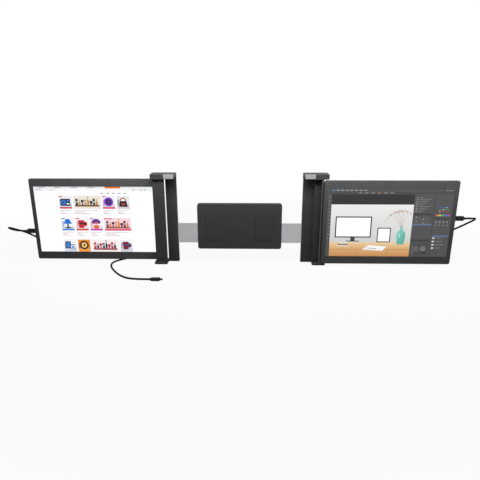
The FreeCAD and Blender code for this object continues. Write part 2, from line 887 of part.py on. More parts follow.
def centre_front():
    """Front half of the centre housing, towards the lid."""
    body = centre_outline(lid_room, centre_split)
    body = body.makeFillet(centre_edge, edges_in_plane(body, "Y", lid_room))
    body = body.cut(centre_room(lid_room + centre_wall, centre_split + beyond))
    bosses = [rod(boss_radius, V(x, lid_room + centre_wall - bite, z), V(x, centre_split, z))
              for x, z in centre_screw_places()]
    body = joined([body] + bosses).cut(plate_mouths())
    for x, z in centre_screw_places():
        body = body.cut(screw_room(case_screw, V(x, column_back, z), -AXIS_Y))
    for mid_x in (-pad_x, pad_x):
        body = body.cut(block(mid_x - pad_width / 2, mid_x + pad_width / 2,
                              lid_room - beyond, lid_room + pad_recess,
                              pad_mid_z() - pad_height / 2, pad_mid_z() + pad_height / 2))
    return body


def pad_mid_z():
    """Height of the middle of the pads on the front of the housing."""
    return (centre_low + centre_top) / 2


def centre_pads():
    """Soft pads between the housing and the back of the lid."""
    pads = []
    for mid_x in (-pad_x, pad_x):
        pads.append(slab(pad_width - 2 * face_gap, pad_height - 2 * face_gap,
                         lid_room - pad_depth + pad_recess, lid_room + pad_recess,
                         pad_round, mid_x, pad_mid_z()))
    return Part.makeCompound(pads)


def centre_back():
    """Rear half of the centre housing, with the kickstand's recess and the arm stops."""
    body = centre_outline(centre_split, column_back)
    body = body.makeFillet(centre_edge, edges_in_plane(body, "Y", column_back))
    room_back = kick_recess_floor - centre_wall
    side_x = kick_width / 2 + kick_gap + kick_pin_grip + centre_wall
    body = body.cut(centre_room(centre_split - beyond, room_back))
    body = body.cut(centre_room(room_back - bite, column_back - centre_wall, side_x))
    bosses = [rod(boss_radius, V(x, centre_split, z), V(x, column_back - centre_wall + bite, z))
              for x, z in centre_screw_places()]
    stops = [rod(stop_radius, V(s * stop_x, lid_room + centre_wall + face_gap, plate_mid),
                 V(s * stop_x, column_back - centre_wall + bite, plate_mid)) for s in (-1, 1)]
    body = body.cut(plate_mouths())
    body = joined([body] + bosses + stops)
    recess = block(-kick_width / 2 - kick_gap, kick_width / 2 + kick_gap,
                   kick_recess_floor, column_back + beyond,
                   centre_low - beyond, kick_axis_z + kick_barrel + kick_gap)
    body = body.cut(recess)
    body = body.cut(kick_line(kick_pin_radius + pin_gap / 2, kick_width / 2 + kick_gap + kick_pin_grip))
    for x, z in centre_screw_places():
        body = body.cut(screw_room(case_screw, V(x, column_back, z), -AXIS_Y))
    return body


def centre_screws():
    """Screws that close the centre housing."""
    return Part.makeCompound([screw(case_screw, V(x, column_back, z), -AXIS_Y)
                              for x, z in centre_screw_places()])


def centre_glides():
    """Low friction rails that guide the upper and lower edges of the arm plates."""
    rails = []
    for side in (LEFT, RIGHT):
        for level, way in ((plate_low, 1), (plate_top, -1)):
            outer = level - way * (glide_height - glide_cover)
            rail = block(side * glide_in, side * glide_out, lid_room + centre_wall, glide_back,
                         outer, level + way * glide_cover)
            groove = block(side * (glide_in - beyond), side * (glide_out + beyond), plate_front - slide_gap,
                           plate_back + slide_gap, level - way * slide_gap,
                           level + way * (glide_cover + beyond))
            rails.append(rail.cut(groove))
    return Part.makeCompound(rails)


def kick_line(radius, half):
    """A rod on the kickstand's axis, of half the given length to each side."""
    return rod(radius, V(-half, kick_axis_y, kick_axis_z), V(half, kick_axis_y, kick_axis_z))


def kick_pin():
    """Steel pin that the kickstand turns on."""
    return kick_line(kick_pin_radius, kick_width / 2 + kick_gap + kick_pin_grip)


def kickstand():
    """Flat leg with a barrel along its top edge and a window that lightens it."""
    half = kick_width / 2
    front = kick_axis_y - kick_thick / 2
    leg = block(-half, half, front, front + kick_thick, kick_low, kick_axis_z)
    low = [e for e in straight_edges(leg, AXIS_Y) if e.Vertexes[0].Point.z < kick_low + 1e-4]
    leg = leg.makeFillet(kick_round, low)
    body = joined([leg, kick_line(kick_barrel, half)])
    middle = (kick_low + kick_tip_height + kick_axis_z - kick_barrel) / 2
    back = front + kick_thick
    window = slab(kick_window_width, kick_window_height, front - beyond, back + beyond,
                  kick_round, 0.0, middle)
    bore = kick_line(kick_pin_radius + pin_gap, half + beyond)
    tip_seat = block(-half - beyond, half + beyond, front - beyond, back + beyond,
                     kick_low - beyond, kick_low + kick_tip_height)
    return body.cut(window).cut(bore).cut(tip_seat)


def kick_tip():
    """Rubber edge along the free end of the kickstand."""
    half = kick_width / 2
    front = kick_axis_y - kick_thick / 2
    tip = block(-half, half, front, front + kick_thick, kick_low, kick_low + kick_tip_height)
    low = [e for e in straight_edges(tip, AXIS_Y) if e.Vertexes[0].Point.z < kick_low + 1e-4]
    return tip.makeFillet(kick_round, low)


def plug():
    """A cable plug along +X: metal tip below X = 0, then the moulded grip and the strain relief."""
    grip = block(plug_stand, plug_stand + plug_len, -plug_thick / 2, plug_thick / 2,
                 -plug_width / 2, plug_width / 2)
    grip = grip.makeFillet(plug_round, straight_edges(grip, AXIS_X))
    start = plug_stand + plug_len
    relief = Part.makeCone(relief_root, cord_radius, relief_len, V(start, 0, 0), AXIS_X)
    body = joined([grip, relief])
    for k in range(relief_rings):
        x = start + relief_len * (k + 1) / (relief_rings + 1)
        outer = Part.makeCylinder(relief_root + beyond, relief_groove_len, V(x, 0, 0), AXIS_X)
        kept = relief_root + (cord_radius - relief_root) * (k + 1) / (relief_rings + 1) - relief_groove
        core = Part.makeCylinder(kept, relief_groove_len, V(x, 0, 0), AXIS_X)
        body = body.cut(outer.cut(core))
    tip = pill(tip_w, tip_h, -tip_len, plug_stand, 0.0, 0.0)
    hollow = pill(tip_w - 2 * tip_wall, tip_h - 2 * tip_wall, -tip_len - beyond, -tip_floor, 0.0, 0.0)
    return Part.makeCompound([body, tip.cut(hollow)])


def screen_plug(side):
    """Plug in a monitor's port, with its cable end pointing outwards."""
    body = plug()
    if side == LEFT:
        body.rotate(V(0, 0, 0), AXIS_Z, 180)
    body.translate(port_place(side))
    return body


def port_place(side):
    """Middle of the used port's mouth at the case edge."""
    if side == LEFT:
        return V(-screen_in - screen_w, left_front + port_centre, screen_mid_z + port_low)
    return V(screen_in + screen_w, right_front + port_centre, screen_mid_z - port_high)


def free_plug(cable_end, way):
    """Plug that lies flat on the floor; way is the direction from the cable to its tip, in degrees."""
    body = plug()
    body.rotate(V(0, 0, 0), AXIS_X, 90)
    body.translate(V(-plug_reach, 0, 0))
    body.rotate(V(0, 0, 0), AXIS_Z, way + 180)
    body.translate(cable_end)
    return body


def route_from(start, steps):
    """Points given as steps along X away from the centre, in Y, and as a share of the start's height."""
    way = math.copysign(1, start.x)
    fall = start.z - cord_z
    return [start] + [V(start.x + way * x, start.y + y, cord_z + fall * share) for x, y, share in steps]


def left_route():
    """Points of the left cable from the monitor's plug, behind the monitor and over the floor."""
    start = port_place(LEFT) - V(plug_reach, 0, 0)
    loop = [
        (18.1, 0, 1), (36.6, 0.1, 1.065), (46.6, 10.2, 1.074), (47.1, 23.7, 1.012),
        (37.6, 32.2, 0.927)]
    fall = [
        (20.1, 34, 0.856), (-1.9, 32.5, 0.739), (-22.9, 32.5, 0.59), (-41.9, 31.2, 0.383),
        (-58.9, 32, 0.149), (-82.9, 32.5, 0)]
    behind = [
        (-114.9, 36, 0), (-149.9, 36.5, 0), (-182.9, 42.2, 0), (-211.9, 48.2, 0), (-237.9, 48.2, 0),
        (-253.9, 35.7, 0), (-252.4, 18.2, 0)]
    ahead = [
        (-237.9, 5.7, 0), (-226.4, -7.8, 0), (-222.9, -24.8, 0), (-226.9, -43.8, 0), (-236.9, -63.8, 0),
        (-250.9, -85.8, 0), (-267.9, -107.8, 0), (-288.4, -124.3, 0)]
    points = route_from(start, loop + fall + behind + ahead)
    end = V(points[-1].x + 2 * plug_run, start.y + left_plug_y, plug_thick / 2)
    return points + [end - V(plug_run, 0, 0), end]


def right_route():
    """Points of the right cable from the monitor's plug to the top of its drop to the floor."""
    start = port_place(RIGHT) + V(plug_reach, 0, 0)
    steps = [
        (13.6, 0, 1), (24.6, 7.7, 0.982), (27.4, 20.7, 0.924), (21.1, 31.7, 0.848),
        (6.1, 34.7, 0.768), (-12.9, 34.3, 0.688), (-32.9, 36.7, 0.617), (-54.9, 40.2, 0.55),
        (-78.9, 42.9, 0.504)]
    drop_top = coil_start() + V(coil_drop_radius, 0, coil_drop_radius)
    return route_from(start, steps) + [drop_top + V(0, 0, coil_drop), drop_top]


def coil_start():
    """Where the dropped cable meets the floor and the coil's first turn begins."""
    return port_place(RIGHT) + V(-coil_inset, plug_reach + coil_drop_radius, cord_z - port_place(RIGHT).z)


def arc_path(points):
    """Straight runs joined by tangent arcs, as edges, with the arcs' radii."""
    edges = []
    radii = []
    here = points[0]
    for before, corner, after in zip(points, points[1:], points[2:]):
        back = (before - corner)
        ahead = (after - corner)
        half_turn = (math.pi - back.getAngle(ahead)) / 2
        reach = arc_share * min(back.Length, ahead.Length)
        radii.append(reach / math.tan(half_turn))
        start = corner + back.normalize() * reach
        end = corner + ahead.normalize() * reach
        inward = (back + ahead).normalize()
        middle = corner + inward * (radii[-1] / math.cos(half_turn) - radii[-1])
        edges.append(Part.LineSegment(here, start).toShape())
        edges.append(Part.Arc(start, middle, end).toShape())
        here = end
    edges.append(Part.LineSegment(here, points[-1]).toShape())
    return edges, radii


def swept(edges, name):
    """A round tube along edges, with its volume compared with section times length."""
    wire = Part.Wire(edges)
    first = edges[0]
    start = first.valueAt(first.FirstParameter)
    along = first.tangentAt(first.FirstParameter)
    ring = Part.Wire([Part.Circle(start, along, cord_radius).toShape()])
    tube = wire.makePipeShell([ring], True, False)
    expected = math.pi * cord_radius ** 2 * wire.Length
    print(name, "length", round(wire.Length, 1), "volume share", round(tube.Volume / expected, 4))
    return tube, wire.Length


def left_cord():
    """The left cable, from plug to plug."""
    edges, radii = arc_path(left_route())
    print("left cable radii", [round(r, 1) for r in radii])
    return swept(edges, "left cable")[0]


def right_cord():
    """The right cable's open run, from the plug down to the coil."""
    edges, radii = arc_path(right_route())
    print("right cable radii", [round(r, 1) for r in radii])
    start = coil_start()
    centre = start + V(0, 0, coil_drop_radius)
    middle = centre + V(math.cos(math.radians(-45)), 0, math.sin(math.radians(-45))) * coil_drop_radius
    edges.append(Part.Arc(right_route()[-1], middle, start).toShape())
    return swept(edges, "right cable run")[0]


def coil_edges():
    """Quarter arcs of a flat spiral that grows by one pitch a turn, and the lead to its plug."""
    start = coil_start()
    centre = start + V(0, coil_radius, 0)
    radius = coil_radius
    edges = []
    here = start
    for _ in range(coil_quarters):
        out = (here - centre).normalize()
        half = turned(out, -45)
        end_way = turned(out, -90)
        end = centre + end_way * radius
        edges.append(Part.Arc(here, centre + half * radius, end).toShape())
        radius += coil_pitch / 4
        centre = end - end_way * radius
        here = end
    rise = V(0, 0, plug_thick / 2 - cord_z)
    lead = [here, here - V(coil_lead / 3, 0, 0), here - V(coil_lead * 2 / 3, 0, 0) + rise,
            here - V(coil_lead, 0, 0) + rise]
    return edges + arc_path(lead)[0], lead[-1]


def turned(way, degrees):
    """A level direction turned about Z."""
    angle = math.radians(degrees)
    return V(way.x * math.cos(angle) - way.y * math.sin(angle),
             way.x * math.sin(angle) + way.y * math.cos(angle), 0)


def right_coil():
    """The rest of the right cable, wound flat behind the right monitor."""
    edges, end = coil_edges()
    tube, length = swept(edges, "right cable coil")
    points = [p for e in edges for p in e.discretize(12)]
    lengths = [0.0]
    for a, b in zip(points, points[1:]):
        lengths.append(lengths[-1] + (b - a).Length)
    gap = min((points[i] - points[j]).Length for i in range(len(points)) for j in range(i)
              if lengths[i] - lengths[j] > 2 * coil_radius)
    print("coil least gap to itself", round(gap - 2 * cord_radius, 2))
    return tube


def screen_parts(side, name):
    """Every piece that one monitor is made of."""
    pieces = {"bezel": bezel(side), "display_panel": display_panel(), "backlight": backlight(),
              "back_cover": back_cover(side), "driver_board": driver_board(),
              "case_screws": case_screws()}
    for z, role in zip(button_levels(), ("power_button", "plus_button", "minus_button")):
        pieces[role] = button(z)
    return {name + "_" + role: place_screen(shape, side) for role, shape in pieces.items()}


def arm_parts(side, name):
    """Every piece of one arm and its hook."""
    pieces = {"column": arm_column(side), "head": arm_head(side), "foot": arm_foot(side),
              "foot_pad": foot_pad(side), "arm_plate": arm_plate(side),
              "arm_screws": arm_screws(side), "hinge_pins": hinge_pins(side),
              "hook": hook(side), "hook_clip": hook_clip(side), "hook_pad": hook_pad(side),
              "screen_plug": screen_plug(side)}
    return {name + "_" + role: shape for role, shape in pieces.items()}


def all_parts():
    """Every node of the part by name."""
    parts = {"centre_front": centre_front(), "centre_back": centre_back(), "centre_pads": centre_pads(),
             "centre_glides": centre_glides(), "centre_screws": centre_screws(), "kick_pin": kick_pin(),
             "kickstand": kickstand(), "kick_tip": kick_tip(), "left_hinge_bar": hinge_bar(),
             "left_friction_rings": friction_rings(), "left_bar_screws": bar_screws(),
             "right_hinge_strip": hinge_strip(), "right_leaf_screws": leaf_screws(),
             "left_cord": left_cord(), "left_free_plug": free_plug(left_route()[-1], 0.0),
             "right_cord": right_cord(), "right_cord_coil": right_coil()}
    end = coil_edges()[1]
    parts["right_free_plug"] = free_plug(end, 180.0)
    for side, name in ((LEFT, "left"), (RIGHT, "right")):
        parts.update(arm_parts(side, name))
        parts.update(screen_parts(side, name))
    return parts


def main():
    """Builds the model and writes one file for each node."""
    os.makedirs("parts", exist_ok=True)
    parts = all_parts()
    for name, shape in parts.items():
        shape.exportStep("parts/" + name + ".step")
    solids = sum(len(shape.Solids) for shape in parts.values())
    bad = [name for name, shape in parts.items() if not shape.isValid() or not shape.Solids]
    print(len(parts), "nodes", solids, "solids", "not valid:", bad)


main()
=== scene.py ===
"""Looks for the laptop screen extender: materials, lit screens, cables, floor, light and camera."""

import json
import math

import bpy
from mathutils import Matrix, Vector


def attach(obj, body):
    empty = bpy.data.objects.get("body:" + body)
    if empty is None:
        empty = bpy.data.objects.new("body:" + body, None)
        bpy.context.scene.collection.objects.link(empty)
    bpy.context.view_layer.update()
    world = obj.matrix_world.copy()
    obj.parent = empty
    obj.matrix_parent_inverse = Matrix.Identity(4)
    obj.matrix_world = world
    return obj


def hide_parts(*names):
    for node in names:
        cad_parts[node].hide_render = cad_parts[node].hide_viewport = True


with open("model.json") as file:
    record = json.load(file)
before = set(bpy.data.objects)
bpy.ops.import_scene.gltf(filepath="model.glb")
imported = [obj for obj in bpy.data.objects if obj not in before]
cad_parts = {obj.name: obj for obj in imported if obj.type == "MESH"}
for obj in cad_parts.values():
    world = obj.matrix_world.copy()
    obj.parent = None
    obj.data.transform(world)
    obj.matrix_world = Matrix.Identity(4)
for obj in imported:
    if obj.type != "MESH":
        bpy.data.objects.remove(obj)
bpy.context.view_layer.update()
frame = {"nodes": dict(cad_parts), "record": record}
MM = 0.001

# Monitor sizes repeated from the CAD, in millimetres
VIEW_W = 293.8
VIEW_H = 166.0
SCREEN_MID_X = 357.5
SCREEN_MID_Z = 109.6
LEFT_FRONT = 2.0
RIGHT_FRONT = -21.5
PANEL_DEPTH = 1.4
CORD_DIAMETER = 4.6

# Pictures: gap between two layers in millimetres, the part of it between a thumbnail's polygons,
# and the points of a disc, of a dot and of a bar's rounded corner
LAYER_STEP = 0.05
THUMB_STEP = 0.25
DISC_STEPS = 28
DOT_STEPS = 20
PILL_STEPS = 6

# Surfaces: scale of the broad clouds, share of the fine grain in the tone, ends of the tone's ramp,
# height of the relief in metres, and scale of the grain on a lit display
CLOUD_SCALE = 35.0
GRAIN_SHARE = 0.45
RAMP_ENDS = (0.3, 0.7)
RELIEF_DEPTH = 0.00006
PIXEL_SCALE = 5000.0

# Photograph's viewpoint in metres, with lens and sensor in millimetres, fitted to both monitors' corners
CAMERA_PLACE = (0.02944, -1.03172, 0.36085)
CAMERA_FORWARD = (-0.02609, 0.95976, -0.2796)
CAMERA_RIGHT = (0.99965, 0.02653, -0.0022)
CAMERA_LENS = 32.363
CAMERA_SENSOR = 36.0

# Floor's half width, tones and grain, the distance and share of plain white near and far, and the world's light
FLOOR_HALF = 12.0
FLOOR_TONES = (0.26, 0.28)
FLOOR_GRAIN = 3.0
NEAR_WHITE = (0.5, 0.94)
FAR_WHITE = (1.1, 1.0)
WORLD_LIGHT = 0.035

# Lamps: name, place, the point each one looks at, width and height in metres, power in watts
LAMPS = [
    ("softbox", (0.1, -0.15, 0.4), (0.1, 0.0, 0.22), (1.2, 0.1), 7.2),
    ("key", (-0.3, -1.6, 2.0), (0.0, 0.0, 0.12), (2.0, 1.2), 0.4),
    ("rear", (0.2, 1.5, 1.0), (0.0, 0.0, 0.1), (2.0, 1.0), 18.0),
]


def add_object(name, data):
    """A new object in the scene."""
    piece = bpy.data.objects.new(name, data)
    bpy.context.scene.collection.objects.link(piece)
    return piece


def new_material(name):
    """A node material with a principled shader on its output."""
    mat = bpy.data.materials.new(name)
    mat.use_nodes = True
    tree = mat.node_tree
    tree.nodes.clear()
    out = tree.nodes.new("ShaderNodeOutputMaterial")
    shader = tree.nodes.new("ShaderNodeBsdfPrincipled")
    tree.links.new(shader.outputs["BSDF"], out.inputs["Surface"])
    return mat, tree, shader


def noise(tree, scale, detail, along=1.0):
    """Noise in object space, so it keeps its size in metres. A low value for along draws it out along X."""
    where = tree.nodes.new("ShaderNodeTexCoord")
    mapping = tree.nodes.new("ShaderNodeMapping")
    mapping.inputs["Scale"].default_value = (along, 1.0, 1.0)
    tex = tree.nodes.new("ShaderNodeTexNoise")
    tex.inputs["Scale"].default_value = scale
    tex.inputs["Detail"].default_value = detail
    tree.links.new(where.outputs["Object"], mapping.inputs["Vector"])
    tree.links.new(mapping.outputs["Vector"], tex.inputs["Vector"])
    return tex.outputs["Fac"]


def ramp(tree, source, low, high):
    """Colour ramp between two linear colours."""
    node = tree.nodes.new("ShaderNodeValToRGB")
    for element, position, colour in zip(node.color_ramp.elements, RAMP_ENDS, (low, high)):
        element.position = position
        element.color = (*colour, 1.0)
    tree.links.new(source, node.inputs["Fac"])
    return node.outputs["Color"]


def spread(tree, source, low, high):
    """Maps a factor to a range of values, such as roughness."""
    node = tree.nodes.new("ShaderNodeMapRange")
    node.inputs["To Min"].default_value = low
    node.inputs["To Max"].default_value = high
    tree.links.new(source, node.inputs["Value"])
    return node.outputs["Result"]


def surface(name, colour, variation, rough, metal=0.0, grain=2200.0, bump=0.12, along=1.0, edge=0.0,
            specular=0.5):
    """A moulded, painted or metal surface with tone, roughness and relief from noise.

    Grain is the fine noise's scale, and edge the radius in metres that softens its edges.
    """
    mat, tree, shader = new_material(name)
    broad = noise(tree, CLOUD_SCALE, 4.0)
    fine = noise(tree, grain, 2.0, along)
    low = tuple(c * (1.0 - variation) for c in colour)
    high = tuple(min(1.0, c * (1.0 + variation)) for c in colour)
    mix = tree.nodes.new("ShaderNodeMix")
    mix.data_type = "FLOAT"
    mix.inputs["Factor"].default_value = GRAIN_SHARE
    tree.links.new(broad, mix.inputs["A"])
    tree.links.new(fine, mix.inputs["B"])
    tree.links.new(ramp(tree, mix.outputs["Result"], low, high), shader.inputs["Base Color"])
    tree.links.new(spread(tree, fine, *rough), shader.inputs["Roughness"])
    shader.inputs["Metallic"].default_value = metal
    shader.inputs["Specular IOR Level"].default_value = specular
    relief = tree.nodes.new("ShaderNodeBump")
    relief.inputs["Strength"].default_value = bump
    relief.inputs["Distance"].default_value = RELIEF_DEPTH
    tree.links.new(fine, relief.inputs["Height"])
    if edge > 0.0:
        rounded = tree.nodes.new("ShaderNodeBevel")
        rounded.samples = 4
        rounded.inputs["Radius"].default_value = edge
        tree.links.new(rounded.outputs["Normal"], relief.inputs["Normal"])
    tree.links.new(relief.outputs["Normal"], shader.inputs["Normal"])
    return mat


def grey(value):
    """A linear grey, very slightly blue."""
    return (value, value * 1.01, value * 1.03)


def lit_material(name):
    """The display picture: light comes from the mesh's own colours."""
    mat, tree, shader = new_material(name)
    paint = tree.nodes.new("ShaderNodeVertexColor")
    paint.layer_name = "paint"
    tree.links.new(paint.outputs["Color"], shader.inputs["Emission Color"])
    shader.inputs["Emission Strength"].default_value = 1.0
    shader.inputs["Base Color"].default_value = (0.004, 0.004, 0.005, 1.0)
    pixel = noise(tree, PIXEL_SCALE, 1.0)
    tree.links.new(spread(tree, pixel, 0.3, 0.36), shader.inputs["Roughness"])
    shader.inputs["Specular IOR Level"].default_value = 0.2
    return mat


SURFACES = {
    "housing_black": dict(colour=grey(0.026), variation=0.1, rough=(0.5, 0.62), bump=0.035,
                          edge=0.00035, specular=0.05),
    "bezel_black": dict(colour=grey(0.042), variation=0.08, rough=(0.46, 0.56), bump=0.03,
                        edge=0.0003, specular=0.05),
    "screen_glass": dict(colour=grey(0.012), variation=0.1, rough=(0.12, 0.18), grain=900.0, bump=0.02),
    "lit_tray": dict(colour=grey(0.55), variation=0.08, rough=(0.3, 0.42), metal=0.8),
    "circuit_board": dict(colour=(0.015, 0.09, 0.045), variation=0.25, rough=(0.35, 0.5), grain=700.0),
    "port_metal": dict(colour=grey(0.55), variation=0.06, rough=(0.25, 0.35), metal=1.0),
    "clip_silver": dict(colour=grey(0.44), variation=0.05, rough=(0.3, 0.42), metal=1.0, grain=900.0,
                        bump=0.06, along=0.05, edge=0.0003),
    "plate_aluminium": dict(colour=grey(0.42), variation=0.06, rough=(0.32, 0.45), metal=1.0,
                            grain=1200.0, bump=0.08, along=0.04, edge=0.0003),
    "pin_steel": dict(colour=grey(0.5), variation=0.06, rough=(0.22, 0.32), metal=1.0),
    "screw_black": dict(colour=grey(0.03), variation=0.15, rough=(0.35, 0.5), metal=0.6),
    "pad_rubber": dict(colour=grey(0.018), variation=0.15, rough=(0.7, 0.85), grain=1500.0, bump=0.25,
                       specular=0.3),
    "glide_polymer": dict(colour=(0.7, 0.69, 0.64), variation=0.05, rough=(0.4, 0.5)),
    "button_black": dict(colour=grey(0.03), variation=0.12, rough=(0.4, 0.5), edge=0.0002, specular=0.4),
    "cord_black": dict(colour=grey(0.005), variation=0.2, rough=(0.42, 0.58), grain=1800.0, bump=0.08,
                       specular=0.05),
    "plug_black": dict(colour=grey(0.01), variation=0.15, rough=(0.4, 0.52), bump=0.05, edge=0.0002,
                       specular=0.1),
    "strip_black": dict(colour=grey(0.032), variation=0.12, rough=(0.38, 0.5), grain=1600.0, bump=0.2,
                        edge=0.0003, specular=0.4),
}
LOOKS = {name: surface(name, **settings) for name, settings in SURFACES.items()}
LIT = lit_material("lit_screen")


def paint_nodes():
    """Gives every CAD node the material of its slot in the record."""
    for row in frame["record"]["subparts"]:
        node = frame["nodes"][row["node"]]
        node.data.materials.clear()
        node.data.materials.append(LOOKS[row["material_slot"]])


class Picture:
    """A flat picture of coloured polygons. u runs right and v up, both from 0 to 1."""

    def __init__(self, name, body, place):
        self.name = name
        self.body = body
        self.place = place
        self.points = []
        self.faces = []
        self.colours = []
        self.layer = 0

    def polygon(self, outline, colours):
        """A polygon with one colour, or one for each corner."""
        if not isinstance(colours, list):
            colours = [colours] * len(outline)
        first = len(self.points)
        self.points += [self.place(u, v, self.layer) for u, v in outline]
        self.faces.append(tuple(range(first, first + len(outline))))
        self.colours.append(colours)

    def rect(self, u0, v0, u1, v1, colour, top=None):
        """A rectangle, shaded upward to a second colour if there is one."""
        high = colour if top is None else top
        self.polygon([(u0, v0), (u1, v0), (u1, v1), (u0, v1)], [colour, colour, high, high])

    def disc(self, u, v, ru, rv, colour):
        """An ellipse."""
        turns = [math.radians(360.0 * k / DISC_STEPS) for k in range(DISC_STEPS)]
        self.polygon([(u + ru * math.cos(t), v + rv * math.sin(t)) for t in turns], colour)

    def pill(self, u0, v0, u1, v1, colour, radius=None):
        """A bar with rounded ends."""
        rv = (v1 - v0) / 2 if radius is None else radius
        ru = rv * VIEW_H / VIEW_W
        corners = ((u1 - ru, v1 - rv, 0), (u0 + ru, v1 - rv, 90), (u0 + ru, v0 + rv, 180),
                   (u1 - ru, v0 + rv, 270))
        outline = []
        for cu, cv, turn in corners:
            for k in range(PILL_STEPS + 1):
                a = math.radians(turn + 90 * k / PILL_STEPS)
                outline.append((cu + ru * math.cos(a), cv + rv * math.sin(a)))
        self.polygon(outline, colour)

    def finish(self):
        """Makes the mesh and puts it on its body."""
        mesh = bpy.data.meshes.new(self.name)
        mesh.from_pydata(self.points, [], self.faces)
        paint = mesh.color_attributes.new("paint", "FLOAT_COLOR", "CORNER")
        corner = 0
        for colours in self.colours:
            for colour in colours:
                paint.data[corner].color = (*colour, 1.0)
                corner += 1
        mesh.materials.append(LIT)
        piece = add_object(self.name, mesh)
        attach(piece, self.body)


def hexed(code):
    """Linear colour from a display colour written as six hexadecimal digits."""
    values = [int(code[k:k + 2], 16) / 255.0 for k in (0, 2, 4)]
    return tuple(v / 12.92 if v <= 0.04045 else ((v + 0.055) / 1.055) ** 2.4 for v in values)


def blend(low, high, share):
    """A colour between two others."""
    return tuple(a + (b - a) * share for a, b in zip(low, high))


def screen_place(middle, front):
    """Turns picture places into points just in front of a display panel."""
    def place(u, v, layer):
        x = middle + (u - 0.5) * VIEW_W
        y = front + PANEL_DEPTH - LAYER_STEP * (layer + 1)
        z = SCREEN_MID_Z + (v - 0.5) * VIEW_H
        return (x * MM, y * MM, z * MM)
    return place


class Thumb:
    """A small still life in its own frame, where u and v run from 0 to 1 inside the thumbnail."""

    def __init__(self, pic, u0, v0, u1, v1):
        self.pic = pic
        self.u0 = u0
        self.v0 = v0
        self.du = u1 - u0
        self.dv = v1 - v0
        self.shape = self.dv * VIEW_H / (self.du * VIEW_W)

    def at(self, u, v):
        """A place in the whole picture."""
        return (self.u0 + u * self.du, self.v0 + v * self.dv)

    def poly(self, outline, colour):
        """A polygon in the thumbnail's frame, a little in front of the one before."""
        self.pic.layer += THUMB_STEP
        self.pic.polygon([self.at(u, v) for u, v in outline], colour)

    def box(self, u0, v0, u1, v1, colour):
        """A rectangle in the thumbnail's frame."""
        self.poly([(u0, v0), (u1, v0), (u1, v1), (u0, v1)], colour)

    def dot(self, u, v, radius, colour, start=0, end=360):
        """A round dot, or a slice of one, whose radius is a share of the thumbnail's height."""
        count = DOT_STEPS if end - start >= 360 else DOT_STEPS + 1
        turns = [math.radians(start + (end - start) * k / DOT_STEPS) for k in range(count)]
        wide = radius * self.shape
        self.poly([(u + wide * math.cos(t), v + radius * math.sin(t)) for t in turns], colour)

    def backdrop(self, wall, first, second):
        """A board, its edge line and something at one side behind a still life."""
        self.box(0, 0, 1, .3, blend(wall, second, .28))
        self.box(0, .28, 1, .31, blend(wall, first, .5))
        self.poly([(.04, .3), (.19, .3), (.19, .78), (.04, .7)], blend(wall, first, .6))

    def still_life(self, kind, first, second):
        """Draws one of a few plain household things in the middle of the thumbnail."""
        white = hexed("ffffff")
        if kind == "mug":
            self.poly([(.24, .2), (.64, .2), (.7, .84), (.18, .84)], first)
            self.dot(.74, .54, .19, first)
            self.dot(.74, .54, .1, second)
            self.box(.22, .5, .66, .62, second)
        elif kind == "plant":
            self.poly([(.34, .14), (.66, .14), (.74, .44), (.26, .44)], first)
            for k in range(5):
                turn = math.radians(30 + 30 * k)
                self.dot(.5 + .25 * math.cos(turn), .56 + .25 * math.sin(turn), .14, second)
            self.dot(.5, .6, .11, first)
        elif kind == "lamp":
            self.poly([(.16, .54), (.84, .54), (.66, .92), (.34, .92)], first)
            self.box(.44, .24, .56, .54, second)
            self.box(.26, .17, .74, .26, second)
        elif kind == "bag":
            self.poly([(.14, .16), (.86, .16), (.76, .62), (.24, .62)], first)
            self.dot(.5, .62, .26, second, 0, 180)
            self.dot(.5, .62, .17, white, 0, 180)
            self.box(.36, .3, .64, .44, second)
        elif kind == "radio":
            self.box(.1, .22, .9, .78, first)
            self.dot(.34, .5, .19, second)
            self.dot(.34, .5, .08, first)
            self.box(.6, .58, .82, .68, second)
            self.box(.6, .34, .82, .44, white)
        elif kind == "frames":
            self.box(.1, .26, .56, .86, first)
            self.box(.16, .34, .5, .78, second)
            self.box(.5, .18, .9, .6, first)
            self.box(.55, .24, .85, .54, white)
            self.dot(.7, .38, .1, second)
        else:
            self.dot(.5, .55, .36, first)
            self.dot(.5, .55, .22, second)
            self.dot(.5, .55, .09, first)


# Cards by row: first column, columns it takes, thing, ground, two colours of the thing, band or none
CARDS = [
    [(0, 1, "radio", "e9edf2", "1d2130", "2f7de0", "d81e34"),
     (1, 2, "shelf", "ece4d8", "27282c", "b98a4e", ""),
     (3, 1, "ring", "f4ecee", "7a2fc4", "1f1a2c", "e0216e"),
     (4, 1, "bag", "dfe6ea", "1d1f24", "c73a2c", "")],
    [(0, 1, "lamp", "eef4fb", "1c6fd0", "222428", "2f86e0"),
     (1, 1, "mug", "fff3f4", "c8202c", "2a2c34", "d81e34"),
     (2, 1, "plant", "f3eefb", "e8662a", "5c2f90", "c020b0"),
     (3, 2, "shelf", "f3d9df", "6a1f4c", "e2842e", "d8246a")],
    [(0, 1, "frames", "f2f3f6", "23283a", "3f7ccc", ""),
     (1, 1, "ring", "e8861c", "3a2a1c", "f7c878", ""),
     (2, 2, "shelf", "f8e9ea", "b8242e", "2a3350", ""),
     (4, 1, "mug", "eef2f6", "7a1838", "35507a", "")],
]
CARD_TOPS = (.86, .525, .19)
CARD_LEFT = .205
CARD_CELL = .122
CARD_WIDE = .104
CARD_TALL = .19


